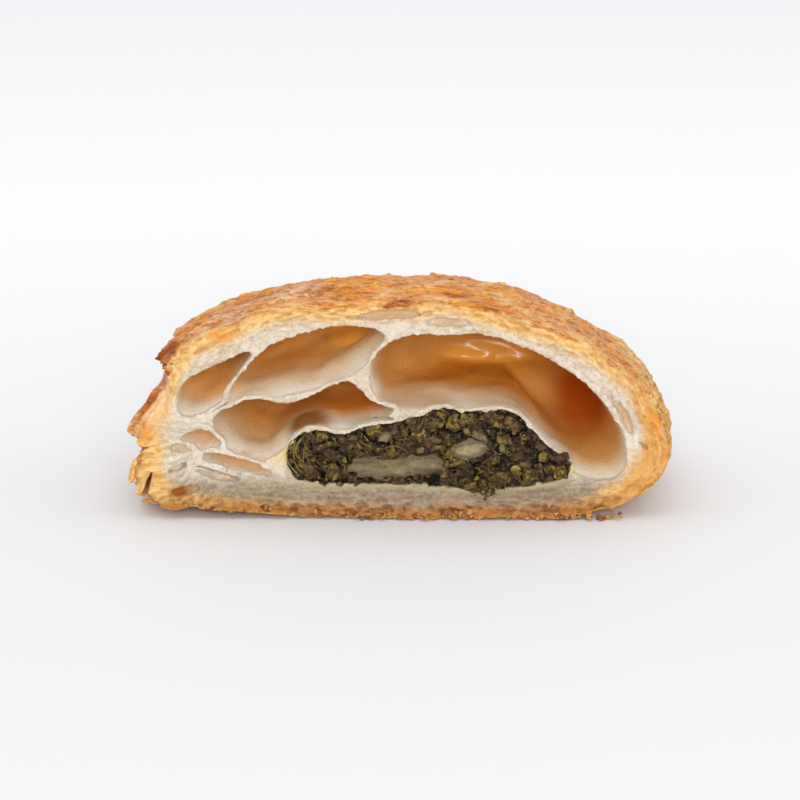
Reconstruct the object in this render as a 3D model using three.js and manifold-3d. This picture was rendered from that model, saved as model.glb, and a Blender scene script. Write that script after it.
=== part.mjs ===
// Half of a baked turnover: a puff pastry case folded over a spinach and cheese filling, cut straight across.
// Millimetres, +Z up. The cut face looks along -Y, the fold is at +X, the seam at -X, the sealed end at +Y.
// The origin is the bottom centre of the whole part.
import * as THREE from "three";
import { ParametricGeometry } from "three/addons/geometries/ParametricGeometry.js";
import { mergeVertices } from "three/addons/utils/BufferGeometryUtils.js";
import Module from "manifold-3d";

const wasm = await Module();
wasm.setup();

// ---- Driving sizes ----
const HALF_DEPTH = 62; // from the cut face to the sealed end
const CROWN_X = 2; // the upright line that the plan is drawn round
const SEAM_REACH = 47.5; // crown line to the seam's edge, at the cut
const FOLD_REACH = 43.2; // crown line to the fold's nose, at the cut
const PLAN_POWER = 3; // 2 is an ellipse from above, more is squarer
const END_DROP = 0.3; // share of its height that the case loses at the sealed end
const END_DROP_POWER = 3;
const SWELL_BEHIND_CUT = 0.05; // share of its height that the crown gains between the cut and the sealed end
const FOLD_BULGE = 1.6; // how far the fold swells out behind the cut
const SEAM_TUCK = 2; // how far the seam draws in behind the cut
const BASE_PRESS = 2; // how far the underside is pressed down behind the cut, flat on the baking sheet
const BASE_PRESS_HEIGHT = 12; // the press fades out up to this height
const CLEARANCE = 0.35; // gap between one node and the next
const WRINKLES = [
  { high: 0.3, longX: 4.1, longY: 5.3 }, // dimples
  { high: 0.25, longX: 9, longY: 3.7 }, // slanting folds
];

// ---- How finely the curved faces are divided ----
const CASE_FACETS = { around: 72, down: 66 };
const FILLING_FACETS = { around: 44, rings: 7 };
const CHEESE_LAYER_FACETS = { around: 18, rings: 4 };
const CHEESE_LUMP_FACETS = { around: 14, rings: 4 };
const POCKET_FACETS = { eachPoint: 1.7, least: 6, rings: 6 };

// ---- The case's outline at the cut, from the crown down each side to the base ----
// Each point is [distance from the crown line, height].
const SEAM_PROFILE = [
  [0, 37.4], [10, 37.4], [18.5, 37], [27, 35.3], [35, 31.8], [40, 28.8], // upper crust
  [42.6, 27], [41.3, 25.2], [43.5, 21.5], [46.4, 17.5], [47.4, 14.3], // lip and the upper sheet's stack
  [45.2, 12.2], [46.6, 10], [47.5, 6.5], [46, 8.2], [46.3, 4.2], // notch and the two loose flakes
  [44.6, 5.5], [43, 2], [37, 1.7], [27, 1], [14, 0], [0, 0], // underside, lifted towards the seam
];
const FOLD_PROFILE = [
  [0, 37.4], [8, 37.1], [15, 35.8], [22, 33.5], [28, 30.8], [33, 27.6],
  [36.5, 24.6], [39, 21.4], [40.8, 18], [42.2, 15], [43, 12.2],
  [43.2, 10.2], [42.6, 8.2], [41.4, 6.4], [39.6, 4.8], [37.2, 3.2],
  [34.4, 2], [31, 1.1], [27, 0.5], [22, 0], [12, 0], [0, 0],
];
const CRUST_HEIGHTS = [24, 36]; // between these heights the wrinkles of the upper crust fade in

// ---- Hollows at the cut, each an outline [x, z] and how far it runs in ----
const POCKETS = {
  leftUnderCrust: {
    depth: 15,
    outline: [
      [-37, 22], [-35.5, 24], [-30.5, 26.5], [-24, 29.3], [-26.8, 25.2], [-30.5, 21], [-35, 19], [-37, 19.5],
    ],
  },
  middleUnderCrust: {
    depth: 21,
    outline: [
      [-29, 21.2], [-25.5, 26], [-22, 29.7], [-17.5, 31.5], [-10, 33.2], [-1.8, 31.8], [-8.2, 26], [-13, 24],
      [-21.5, 22.2],
    ],
  },
  rightUnderCrust: {
    depth: 29,
    outline: [
      [-5, 26.5], [-1.5, 30.5], [3, 31.8], [9, 31.5], [12.5, 32], [18.5, 30.4], [25.5, 27.2], [32, 22.5],
      [35.5, 18], [38, 13.5], [37.5, 8.8], [32, 8.2], [27.5, 10.7], [23.2, 15.5], [19.8, 19.2], [15.5, 20.4],
      [5, 20.5], [-3, 21],
    ],
  },
  rightSliver: {
    depth: 10,
    outline: [[33.7, 22.4], [37, 20], [39.1, 16.6], [39.4, 14], [38.4, 14.4], [36.6, 18.2]],
  },
  aboveFilling: {
    depth: 22,
    outline: [
      [-31.5, 17.3], [-28, 19.4], [-24, 20.9], [-19, 19.8], [-15.5, 20.8], [-12, 22.6], [-8.2, 23.8],
      [-4.5, 20.2], [0.3, 18.6], [-3, 17.6], [-8, 16.8], [-12.5, 17], [-16, 15.6], [-20, 13], [-23, 11.2],
      [-27.5, 12.6], [-30, 14.6],
    ],
  },
  seamUpper: {
    depth: 9,
    outline: [[-38, 13.6], [-35, 15], [-32.4, 15.5], [-31, 14.4], [-29.2, 12.6], [-32, 12.2], [-35, 13.1]],
  },
  seamSlit: { depth: 6, outline: [[-39.3, 11.9], [-36.5, 13.1], [-34.6, 11.8], [-36.5, 11.3]] },
  seamMiddle: {
    depth: 15,
    outline: [[-34, 10.9], [-31, 11.5], [-25.5, 10], [-22, 8.6], [-20.5, 7.1], [-25.5, 7.9], [-31, 9.4]],
  },
  seamLower: { depth: 11, outline: [[-35, 9.3], [-31, 7.9], [-25, 6.4], [-29, 6.3], [-33, 7.4]] },
  seamBase: { depth: 11, outline: [[-39.4, 4.3], [-34.5, 5.9], [-33, 5.3], [-36.5, 3.5]] },
  crownLeft: { depth: 9, outline: [[-8.5, 34.4], [-4, 35.8], [1, 36], [5.5, 35.1], [1, 34.4], [-5, 34.1]] },
  crownRight: { depth: 8, outline: [[3, 33.6], [6, 34.6], [10, 34.4], [13.5, 33.6], [9, 33]] },
};

// ---- Filling at the cut, with how far each part runs in and stands in front of the cut ----
const FILLING_DEPTH = 48;
const SPINACH_LEAD = 0.01;
const CHEESE_LAYER_LEAD = 0.1;
const CHEESE_LUMP_LEAD = 0.3;
const FILLING = [
  [-18.5, 11.5], [-16.5, 14.4], [-14, 15.3], [-10, 14], [-5, 15.8], [0, 16.2], [4.5, 18.3], [7.5, 18.8],
  [11, 18], [16, 18.6], [19, 18], [22, 15.2], [25, 11.8], [29.3, 8.6], [26, 6.8], [22, 6],
  [16, 5.5], [13.8, 4.4], [11, 5.5], [3.5, 6], [-5, 6.4], [-11.5, 6.1], [-17, 7], [-18.3, 9],
];
const CHEESE_LAYER_DEPTH = 36;
const CHEESE_LAYER = [
  [-9.2, 8.6], [-6.5, 10.4], [0, 10.6], [5, 10.9], [8, 10.4], [7, 8.6], [2, 7.5], [-5, 7.3],
];
const CHEESE_LUMP_DEPTH = 9;
const CHEESE_LUMP = [[8.8, 12.3], [12, 13.5], [15, 13], [14.2, 11.6], [11.2, 10.4], [9.2, 11.2]];

// Chopped leaf standing proud of the filling's cut face: rows of flattened lumps.
const LEAF_SPACING = 2.1;
const LEAF_RADIUS = [0.9, 1.5];
const LEAF_FLATNESS = 0.7; // a lump's height as a share of its width
const LEAF_NUDGE = 0.6; // how far a lump may lie off its row
const LEAF_PROUD = 0.5;
const LEAF_ROOT = 0.4; // how far a lump reaches back into the filling
const LEAF_SINK = 0.15; // how far a lump's middle may lie in front of or behind the cut
const LEAF_MARGIN = 1.2; // kept clear of the filling's own edge
const CHEESE_MARGIN = 1.6; // kept clear of the cheese
const LEAF_PACE = { x: 12.9, z: 7.3, radius: 3.7, turn: 1.7 }; // how fast each changes from lump to lump

// ---- Small tools ----
const solidOf = (geometry) => {
  geometry.deleteAttribute("normal");
  geometry.deleteAttribute("uv");
  const merged = mergeVertices(geometry, 1e-3);
  return new wasm.Manifold(
    new wasm.Mesh({
      numProp: 3,
      vertProperties: merged.attributes.position.array,
      triVerts: new Uint32Array(merged.index.array),
    }),
  );
};

const geometryOf = (solid) => {
  const mesh = solid.getMesh();
  const geometry = new THREE.BufferGeometry();
  geometry.setAttribute("position", new THREE.BufferAttribute(mesh.vertProperties, 3));
  geometry.setIndex(new THREE.BufferAttribute(mesh.triVerts, 1));
  geometry.computeVertexNormals();
  return geometry;
};

// A smooth closed loop of `count` points through an outline in the cut's plane, wound anticlockwise.
function loop(outline, count) {
  const corners = outline.map(([x, z]) => new THREE.Vector3(x, z, 0));
  const curve = new THREE.CatmullRomCurve3(corners, true, "centripetal");
  const ring = curve.getSpacedPoints(count).slice(0, count).map((p) => new THREE.Vector2(p.x, p.y));
  return THREE.ShapeUtils.isClockWise(ring) ? ring.reverse() : ring;
}

const middle = (ring) => ring.reduce((sum, p) => sum.add(p), new THREE.Vector2()).divideScalar(ring.length);

// Moves each point of an anticlockwise loop outwards by `distance`.
function grown(ring, distance) {
  return ring.map((p, i) => {
    const before = ring[(i + ring.length - 1) % ring.length];
    const after = ring[(i + 1) % ring.length];
    const along = after.clone().sub(before).normalize();
    return new THREE.Vector2(p.x + along.y * distance, p.y - along.x * distance);
  });
}

// A body that starts `lead` in front of the cut with the loop's shape and closes in a rounded end at `depth`.
function bubble(ring, depth, { rings, lead = 2, power = 2.4, end = 0.97 }) {
  const centre = middle(ring);
  const levels = [{ y: -lead, scale: 1 }];
  for (let k = 0; k <= rings; k++) {
    const share = end * Math.sin(((k / rings) * Math.PI) / 2);
    levels.push({ y: share * depth, scale: (1 - share ** power) ** (1 / power) });
  }
  const count = ring.length;
  const positions = levels.flatMap(({ y, scale }) =>
    ring.flatMap((p) => [centre.x + (p.x - centre.x) * scale, y, centre.y + (p.y - centre.y) * scale]),
  );
  const cap = THREE.ShapeUtils.triangulateShape(ring, []);
  const faces = cap.flatMap(([a, b, c]) => [a, b, c]);
  for (let k = 0; k + 1 < levels.length; k++) {
    for (let i = 0; i < count; i++) {
      const a = k * count + i;
      const b = k * count + ((i + 1) % count);
      faces.push(a, a + count, b, b, a + count, b + count);
    }
  }
  const last = (levels.length - 1) * count;
  faces.push(...cap.flatMap(([a, b, c]) => [last + a, last + c, last + b]));
  const geometry = new THREE.BufferGeometry();
  geometry.setAttribute("position", new THREE.BufferAttribute(new Float32Array(positions), 3));
  geometry.setIndex(faces);
  return solidOf(geometry);
}

// ---- The case ----
function profileCurve(points) {
  const corners = points.map(([x, z]) => new THREE.Vector3(x, z, 0));
  return new THREE.CatmullRomCurve3(corners, false, "centripetal");
}
const seamCurve = profileCurve(SEAM_PROFILE);
const foldCurve = profileCurve(FOLD_PROFILE);

// Low wrinkles of the upper crust, at most about half a millimetre high.
function wrinkle(x, y) {
  const [dimple, slant] = WRINKLES;
  const dimples = dimple.high * Math.sin(x / dimple.longX) * Math.cos(y / dimple.longY);
  return dimples + slant.high * Math.sin(y / slant.longY + x / slant.longX);
}

// The whole turnover, uncut: in half a turn the seam's profile becomes the fold's, and the rest mirrors it.
function wholeCase({ around, down }) {
  const point = (u, v, target) => {
    const angle = u * 2 * Math.PI;
    const towardsFold = (1 - Math.cos(angle)) / 2;
    const seam = seamCurve.getPoint(v);
    const fold = foldCurve.getPoint(v);
    const share = THREE.MathUtils.lerp(seam.x / SEAM_REACH, fold.x / FOLD_REACH, towardsFold);
    const across = Math.sign(Math.cos(angle)) * Math.abs(Math.cos(angle)) ** (2 / PLAN_POWER);
    const along = Math.sign(Math.sin(angle)) * Math.abs(Math.sin(angle)) ** (2 / PLAN_POWER);
    const y = share * HALF_DEPTH * along;
    const depthShare = Math.abs(y) / HALF_DEPTH;
    const behindCut = Math.sin(Math.PI * depthShare);
    const shift = THREE.MathUtils.lerp(SEAM_TUCK, FOLD_BULGE, towardsFold) * behindCut * share;
    const x = CROWN_X - share * across * (across > 0 ? SEAM_REACH : FOLD_REACH) + shift;
    const shaped = THREE.MathUtils.lerp(seam.y, fold.y, towardsFold);
    const press = BASE_PRESS * behindCut * (1 - THREE.MathUtils.smoothstep(shaped, 0, BASE_PRESS_HEIGHT));
    const height = Math.max(0, shaped - press);
    const rise = SWELL_BEHIND_CUT * behindCut * (1 - share) - END_DROP * depthShare ** END_DROP_POWER;
    const crust = THREE.MathUtils.smoothstep(height, ...CRUST_HEIGHTS);
    target.set(x, y, height * (1 + rise) + crust * wrinkle(x, y));
  };
  return solidOf(new ParametricGeometry(point, around, down));
}

// Everything in front of the cut, well past the case on every side.
function frontHalf() {
  const reach = 4 * HALF_DEPTH;
  return solidOf(new THREE.BoxGeometry(reach, reach, reach).translate(0, -reach / 2, 0));
}

const group = new THREE.Group();
function addNode(name, solid, color, roughness) {
  const material = new THREE.MeshStandardMaterial({ color, roughness, metalness: 0 });
  const mesh = new THREE.Mesh(geometryOf(solid), material);
  mesh.name = name;
  group.add(mesh);
}

const fillingRing = loop(FILLING, FILLING_FACETS.around);
const cheeseLayerRing = loop(CHEESE_LAYER, CHEESE_LAYER_FACETS.around);
const cheeseLumpRing = loop(CHEESE_LUMP, CHEESE_LUMP_FACETS.around);

// The space that a filling takes, with the clearance round it.
const spaceFor = (ring, depth, { rings }) => bubble(grown(ring, CLEARANCE), depth + CLEARANCE, { rings });

// ---- Pastry ----
let pastry = wholeCase(CASE_FACETS).subtract(frontHalf());
for (const { outline, depth } of Object.values(POCKETS)) {
  const count = Math.round(POCKET_FACETS.eachPoint * outline.length) + POCKET_FACETS.least;
  pastry = pastry.subtract(bubble(loop(outline, count), depth, POCKET_FACETS));
}
pastry = pastry.subtract(spaceFor(fillingRing, FILLING_DEPTH, FILLING_FACETS));
addNode("pastry", pastry, 0xe0aa68, 0.5);

// ---- Filling ----
const distanceTo = (ring, x, z) => Math.min(...ring.map((p) => Math.hypot(p.x - x, p.y - z)));
const inside = (ring, x, z) => {
  let within = false;
  ring.forEach((a, i) => {
    const b = ring[(i + 1) % ring.length];
    if (a.y > z !== b.y > z && x < ((b.x - a.x) * (z - a.y)) / (b.y - a.y) + a.x) within = !within;
  });
  return within;
};

// Rows of leaf lumps across the cut face, nudged off their grid by a fixed rule.
function leafLumps() {
  const lumps = [];
  const [smallest, largest] = LEAF_RADIUS;
  const { min, max } = new THREE.Box2().setFromPoints(fillingRing);
  let n = 0;
  for (let z = min.y; z < max.y; z += LEAF_SPACING) {
    for (let x = min.x; x < max.x; x += LEAF_SPACING) {
      n += 1;
      const px = x + LEAF_NUDGE * Math.sin(n * LEAF_PACE.x);
      const pz = z + LEAF_NUDGE * Math.sin(n * LEAF_PACE.z);
      const radius = THREE.MathUtils.mapLinear(Math.sin(n * LEAF_PACE.radius), -1, 1, smallest, largest);
      const clear = distanceTo(fillingRing, px, pz) > radius + LEAF_MARGIN - smallest;
      const offCheese = [cheeseLayerRing, cheeseLumpRing].every(
        (ring) => !inside(ring, px, pz) && distanceTo(ring, px, pz) > CHEESE_MARGIN,
      );
      if (!inside(fillingRing, px, pz) || !clear || !offCheese) continue;
      const lump = new THREE.IcosahedronGeometry(1, 0)
        .rotateX(n)
        .rotateY(2 * n)
        .scale(radius, LEAF_PROUD + LEAF_ROOT, radius * LEAF_FLATNESS)
        .rotateY(n * LEAF_PACE.turn)
        .translate(px, LEAF_SINK * Math.sin(n), pz);
      lumps.push(solidOf(lump));
    }
  }
  return lumps;
}

let filling = bubble(fillingRing, FILLING_DEPTH, { rings: FILLING_FACETS.rings, lead: SPINACH_LEAD });
for (const lump of leafLumps()) filling = filling.add(lump);
filling = filling
  .subtract(spaceFor(cheeseLayerRing, CHEESE_LAYER_DEPTH, CHEESE_LAYER_FACETS))
  .subtract(spaceFor(cheeseLumpRing, CHEESE_LUMP_DEPTH, CHEESE_LUMP_FACETS));
addNode("spinach_filling", filling, 0x4a4a24, 0.45);

// ---- Cheese ----
const layerShape = { rings: CHEESE_LAYER_FACETS.rings, lead: CHEESE_LAYER_LEAD };
const lumpShape = { rings: CHEESE_LUMP_FACETS.rings, lead: CHEESE_LUMP_LEAD };
addNode("cheese_layer", bubble(cheeseLayerRing, CHEESE_LAYER_DEPTH, layerShape), 0xc8bd86, 0.35);
addNode("cheese_lump", bubble(cheeseLumpRing, CHEESE_LUMP_DEPTH, lumpShape), 0xd2c791, 0.35);

// ---- Origin at the bottom centre of the whole ----
const box = new THREE.Box3().setFromObject(group);
const centre = box.getCenter(new THREE.Vector3());
group.position.set(-centre.x, -centre.y, -box.min.z);

export default group;
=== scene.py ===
"""Half of a spinach and cheese turnover, cut straight across: crust, layers, hollows and filling.

Lengths are in millimetres until a mesh is made; the frame is +X to the fold, +Y away from the cut, +Z up.
"""
import math
from itertools import product

import bmesh
import bpy
import numpy as np
import openvdb
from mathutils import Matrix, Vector


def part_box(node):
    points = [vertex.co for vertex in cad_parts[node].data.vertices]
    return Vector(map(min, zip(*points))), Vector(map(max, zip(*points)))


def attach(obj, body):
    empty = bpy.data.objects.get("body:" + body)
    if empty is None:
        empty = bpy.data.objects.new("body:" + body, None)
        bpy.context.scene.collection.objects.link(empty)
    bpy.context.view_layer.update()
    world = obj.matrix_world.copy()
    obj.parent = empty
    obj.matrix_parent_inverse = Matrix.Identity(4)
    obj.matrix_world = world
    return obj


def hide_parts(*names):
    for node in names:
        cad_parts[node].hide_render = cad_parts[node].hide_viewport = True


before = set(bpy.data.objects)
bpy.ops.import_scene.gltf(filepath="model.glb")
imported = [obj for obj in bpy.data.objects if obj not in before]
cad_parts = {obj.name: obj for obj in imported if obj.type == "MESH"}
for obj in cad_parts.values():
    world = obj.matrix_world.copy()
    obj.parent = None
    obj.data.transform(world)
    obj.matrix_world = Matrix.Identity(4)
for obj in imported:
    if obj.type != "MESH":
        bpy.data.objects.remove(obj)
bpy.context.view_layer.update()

MM = 0.001
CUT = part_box("pastry")[0].y / MM  # the cut's plane
CASE_LOW, CASE_HIGH = (np.array(corner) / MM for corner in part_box("pastry"))
FILLING_LOW, FILLING_HIGH = (np.array(corner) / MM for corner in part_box("spinach_filling"))


# ---- Noise ----
dice = np.random.default_rng(11)
SHUFFLE = dice.permutation(256).astype(np.int32)
GRADIENTS = dice.normal(size=(3, 256)).astype(np.float32)
GRADIENTS /= np.linalg.norm(GRADIENTS, axis=0)
CHUNK_PLACES = dice.uniform(size=(256, 2)).astype(np.float32)


def noise(points, size, seed=0):
    """Smooth noise from about -1 to 1 at each point, with lumps of this size, one number or three."""
    q = (points / np.asarray(size, float) + 37.7 * seed).astype(np.float32).T
    cell = np.floor(q)
    part = q - cell
    fade = part**3 * (part * (part * 6 - 15) + 10)
    cell = cell.astype(np.int32) & 255
    total = np.zeros(len(points), np.float32)
    for i, j, k in product((0, 1), repeat=3):
        pick = SHUFFLE[(SHUFFLE[(SHUFFLE[(cell[0] + i) & 255] + cell[1] + j) & 255] + cell[2] + k) & 255]
        pull = (part[0] - i) * GRADIENTS[0][pick]
        pull += (part[1] - j) * GRADIENTS[1][pick]
        pull += (part[2] - k) * GRADIENTS[2][pick]
        pull *= fade[0] if i else 1 - fade[0]
        pull *= fade[1] if j else 1 - fade[1]
        pull *= fade[2] if k else 1 - fade[2]
        total += pull
    return total * 1.6


def octaves(points, size, seed=0, count=3, share=0.5):
    """Noise with finer noise laid over it."""
    size = np.asarray(size, float)
    return sum(noise(points, size / 2**n, seed + n) * share**n for n in range(count))


def chunks(points, size, seed=0):
    """The irregular chunk each point lies in, seen from the front.

    Gives the chunk's own number from 0 to 1, and how far the point is from the chunk's edge.
    """
    warp = np.stack([octaves(points, size * 0.8, seed + n, 2) for n in (0, 5)], 1)
    q = points[:, [0, 2]] / size * (1.0, 1.25) + 0.4 * warp
    cell = np.floor(q).astype(np.int32)
    nearest = np.full(len(q), 9.0, np.float32)
    second, own = nearest.copy(), np.zeros(len(q), np.float32)
    for step in product((-1, 0, 1), repeat=2):
        beside = cell + step
        pick = SHUFFLE[(SHUFFLE[(beside[:, 0] + seed) & 255] + beside[:, 1]) & 255]
        away = np.linalg.norm(q - beside - CHUNK_PLACES[pick], axis=1)
        closer = away < nearest
        second = np.where(closer, nearest, np.minimum(second, away))
        own = np.where(closer, pick / 255, own)
        nearest = np.minimum(nearest, away)
    return own, (second - nearest) * size / 2


def smoothstep(value, low, high):
    t = np.clip((value - low) / (high - low), 0, 1)
    return t * t * (3 - 2 * t)


def terraces(value, tread=0.72):
    """A value turned into flat steps with short ramps between them."""
    whole = np.floor(value)
    return whole + smoothstep(value - whole, tread, 1)


# ---- Distance fields ----
class Distance:
    """Signed distance to a closed shell, negative inside, kept on a box grid and read anywhere."""

    def __init__(self, vertices, triangles, voxel, reach, blur=0.0):
        grid = openvdb.FloatGrid.createLevelSetFromPolygons(
            np.ascontiguousarray(vertices, np.float32),
            triangles=np.ascontiguousarray(triangles, np.uint32),
            transform=openvdb.createLinearTransform(voxelSize=voxel),
            halfWidth=reach / voxel,
        )
        low, high = (np.array(corner) for corner in grid.evalActiveVoxelBoundingBox())
        self.values = np.empty(high - low + 1, np.float32)
        grid.copyToArray(self.values, ijk=tuple(int(i) for i in low))
        self.origin, self.voxel, self.reach = low * voxel, voxel, reach
        self.low, self.high = self.origin, high * voxel
        if blur:
            self.soften(blur / voxel)

    def soften(self, sigma):
        half = max(1, int(round(2 * sigma)))
        weights = np.exp(-0.5 * (np.arange(-half, half + 1) / sigma) ** 2)
        weights /= weights.sum()
        for axis in range(3):
            padded = np.pad(self.values, [(half, half) if a == axis else (0, 0) for a in range(3)], "edge")
            length = self.values.shape[axis]
            self.values = sum(
                w * np.take(padded, range(n, n + length), axis=axis) for n, w in enumerate(weights)
            ).astype(np.float32)

    def __call__(self, points):
        q = ((points - self.origin) / self.voxel).astype(np.float32).T
        top = (np.array(self.values.shape) - 1.001).astype(np.float32)[:, None]
        outside = ((q < 0) | (q > top)).any(0)
        q = np.clip(q, 0, top)
        cell = q.astype(np.int32)
        part = q - cell
        total = np.zeros(len(points), np.float32)
        for i, j, k in product((0, 1), repeat=3):
            term = self.values[cell[0] + i, cell[1] + j, cell[2] + k]
            term = term * (part[0] if i else 1 - part[0])
            term *= part[1] if j else 1 - part[1]
            term *= part[2] if k else 1 - part[2]
            total += term
        total[outside] = self.reach
        return total

    def on_grid(self, axes):
        """The same on every point of a box grid, one axis at a time."""
        values, outside = self.values, []
        for axis, places in enumerate(axes):
            q = (places - self.origin[axis]) / self.voxel
            top = self.values.shape[axis] - 1.001
            outside.append((q < 0) | (q > top))
            q = np.clip(q, 0, top)
            cell = q.astype(np.int32)
            part = (q - cell).astype(np.float32).reshape([-1 if a == axis else 1 for a in range(3)])
            values = np.take(values, cell, axis) * (1 - part) + np.take(values, cell + 1, axis) * part
        missed = outside[0][:, None, None] | outside[1][:, None] | outside[2]
        return np.where(missed, self.reach, values)


def shells_behind_cut(node):
    """The node's outside and each of its hollows, once the cut's own faces are off, each closed in front."""
    lead = 4.0
    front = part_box(node)[0].y / MM
    bm = bmesh.new()
    bm.from_mesh(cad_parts[node].data)
    bmesh.ops.scale(bm, vec=(1 / MM,) * 3, verts=bm.verts)
    bmesh.ops.remove_doubles(bm, verts=bm.verts, dist=1e-3)
    on_cut = [f for f in bm.faces if all(abs(v.co.y - front) < 2e-3 for v in f.verts)]
    bmesh.ops.delete(bm, geom=on_cut, context="FACES")
    rims = [e for e in bm.edges if e.is_boundary]
    moved = bmesh.ops.extrude_edge_only(bm, edges=rims)["geom"]
    bmesh.ops.translate(bm, vec=(0, -lead, 0), verts=[g for g in moved if isinstance(g, bmesh.types.BMVert)])
    bmesh.ops.holes_fill(bm, edges=[e for e in bm.edges if e.is_boundary])
    bmesh.ops.triangulate(bm, faces=bm.faces)
    bm.verts.index_update()
    shells, seen = [], set()
    for start in bm.verts:
        if start in seen:
            continue
        shell, queue = {start}, [start]
        while queue:
            for edge in queue.pop().link_edges:
                for v in edge.verts:
                    if v not in shell:
                        shell.add(v)
                        queue.append(v)
        seen |= shell
        order = {v: n for n, v in enumerate(shell)}
        faces = {f for v in shell for f in v.link_faces}
        if len(faces) > 20:
            points = np.array([v.co[:] for v in order])
            shells.append((points, np.array([[order[v] for v in f.verts] for f in faces])))
    bm.free()
    return sorted(shells, key=lambda shell: -np.ptp(shell[0], axis=0).prod())


# ---- Surface of a field ----
def surface(field, axes):
    """The zero surface of a field sampled on a box grid: vertices, and quads that face the positive side."""
    inside = field < 0
    corners = list(product((0, 1), repeat=3))
    shape = [n - 1 for n in field.shape]
    window = lambda corner: tuple(slice(c, c + n) for c, n in zip(corner, shape))
    count = sum(inside[window(corner)].astype(np.int8) for corner in corners)
    cells = np.argwhere((count > 0) & (count < 8))
    number = np.full(shape, -1, np.int64)
    number[tuple(cells.T)] = np.arange(len(cells))
    place = lambda index: np.stack([axes[a][index[:, a]] for a in range(3)], 1)
    total, hits = np.zeros((len(cells), 3)), np.zeros(len(cells))
    for near in corners:
        for axis in range(3):
            if near[axis]:
                continue
            a = cells + near
            b = a.copy()
            b[:, axis] += 1
            va, vb = field[tuple(a.T)], field[tuple(b.T)]
            crossed = (va < 0) != (vb < 0)
            share = (va[crossed] / (va[crossed] - vb[crossed]))[:, None]
            total[crossed] += place(a[crossed]) * (1 - share) + place(b[crossed]) * share
            hits[crossed] += 1
    vertices = total / hits[:, None]
    quads = []
    for axis in range(3):
        u, v = (axis + 1) % 3, (axis + 2) % 3
        here = [slice(1, n) for n in shape]
        here[axis] = slice(0, shape[axis])
        there = list(here)
        there[axis] = slice(1, shape[axis] + 1)
        first, second = inside[tuple(here)], inside[tuple(there)]
        for flip, crossed in ((False, first & ~second), (True, ~first & second)):
            p = np.argwhere(crossed)
            p[:, u] += 1
            p[:, v] += 1
            ring = []
            for du, dv in ((-1, -1), (0, -1), (0, 0), (-1, 0)):
                q = p.copy()
                q[:, u] += du
                q[:, v] += dv
                ring.append(number[tuple(q.T)])
            quads.append(np.stack(ring[::-1] if flip else ring, 1))
    return vertices, np.concatenate(quads)


def largest_body(vertices, faces):
    """The surface without the loose specks that noise leaves round it or inside it."""
    label = np.arange(len(vertices))
    while True:
        low = label[faces].min(1)
        before = label.copy()
        for column in faces.T:
            np.minimum.at(label, column, low)
        label = label[label]
        if (label == before).all():
            break
    keep = label == np.bincount(label).argmax()
    index = np.cumsum(keep) - 1
    return vertices[keep], index[faces[keep[faces].all(1)]]


def grid_points(axes):
    return np.stack(np.meshgrid(*axes, indexing="ij"), -1).reshape(-1, 3)


def steps_away(start, first, even, growth, longest, end):
    """Places along Y from start to past the end: even steps as far as `even`, then ever longer ones."""
    places, step = [start], first
    while places[-1] < end:
        places.append(places[-1] + step)
        if places[-1] > even:
            step = min(step * growth, longest)
    return np.array(places)


# ---- Meshes ----
def piece(name, vertices, faces, material, attributes=None):
    """A mesh object from vertices in millimetres and faces that all have the same number of corners."""
    mesh = bpy.data.meshes.new(name)
    sides = faces.shape[1]
    mesh.vertices.add(len(vertices))
    mesh.vertices.foreach_set("co", (vertices * MM).astype(np.float32).ravel())
    mesh.loops.add(faces.size)
    mesh.loops.foreach_set("vertex_index", faces.astype(np.int32).ravel())
    mesh.polygons.add(len(faces))
    mesh.polygons.foreach_set("loop_start", np.arange(0, faces.size, sides, dtype=np.int32))
    mesh.update(calc_edges=True)
    mesh.validate()
    shade_smooth(mesh)
    obj = bpy.data.objects.new(name, mesh)
    for key, values in (attributes or {}).items():
        set_attribute(obj, key, values)
    bpy.context.scene.collection.objects.link(obj)
    mesh.materials.append(material)
    return obj


def shade_smooth(mesh):
    mesh.polygons.foreach_set("use_smooth", np.ones(len(mesh.polygons), bool))


def dressed(obj, slot, *nodes):
    """Hangs a piece on the root body and hides the solids that it stands for; slot is not used."""
    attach(obj, "root")
    if nodes:
        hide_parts(*nodes)


def thinned(obj, faces, kept_behind):
    """Fewer triangles behind the cut, and all of them kept within kept_behind of it."""
    share = faces / sum(len(p.vertices) - 2 for p in obj.data.polygons)
    if share >= 1:
        return
    group = obj.vertex_groups.new(name="may_thin")
    free = np.flatnonzero(points_of(obj)[:, 1] > CUT + kept_behind)
    group.add([int(n) for n in free], 1.0, "ADD")
    modifier = obj.modifiers.new("thin", "DECIMATE")
    modifier.ratio = share
    modifier.vertex_group = group.name
    bpy.context.view_layer.update()
    lighter = bpy.data.meshes.new_from_object(obj.evaluated_get(bpy.context.evaluated_depsgraph_get()))
    obj.modifiers.clear()
    obj.vertex_groups.clear()
    obj.data = lighter
    shade_smooth(lighter)


def points_of(obj):
    co = np.empty(len(obj.data.vertices) * 3, np.float32)
    obj.data.vertices.foreach_get("co", co)
    return co.reshape(-1, 3) / MM


def set_attribute(obj, key, values):
    attribute = obj.data.attributes.new(key, "FLOAT", "POINT")
    attribute.data.foreach_set("value", np.asarray(values, np.float32))


def turned(vectors, angles):
    """Sets of vectors, each set turned by its own angles about X, Y and Z, Y first."""
    vectors = vectors.copy()
    for axis in (1, 0, 2):
        a, b = (axis + 1) % 3, (axis + 2) % 3
        cos, sin = np.cos(angles[:, axis, None]), np.sin(angles[:, axis, None])
        va, vb = vectors[..., a].copy(), vectors[..., b].copy()
        vectors[..., a] = cos * va - sin * vb
        vectors[..., b] = sin * va + cos * vb
    return vectors


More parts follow.
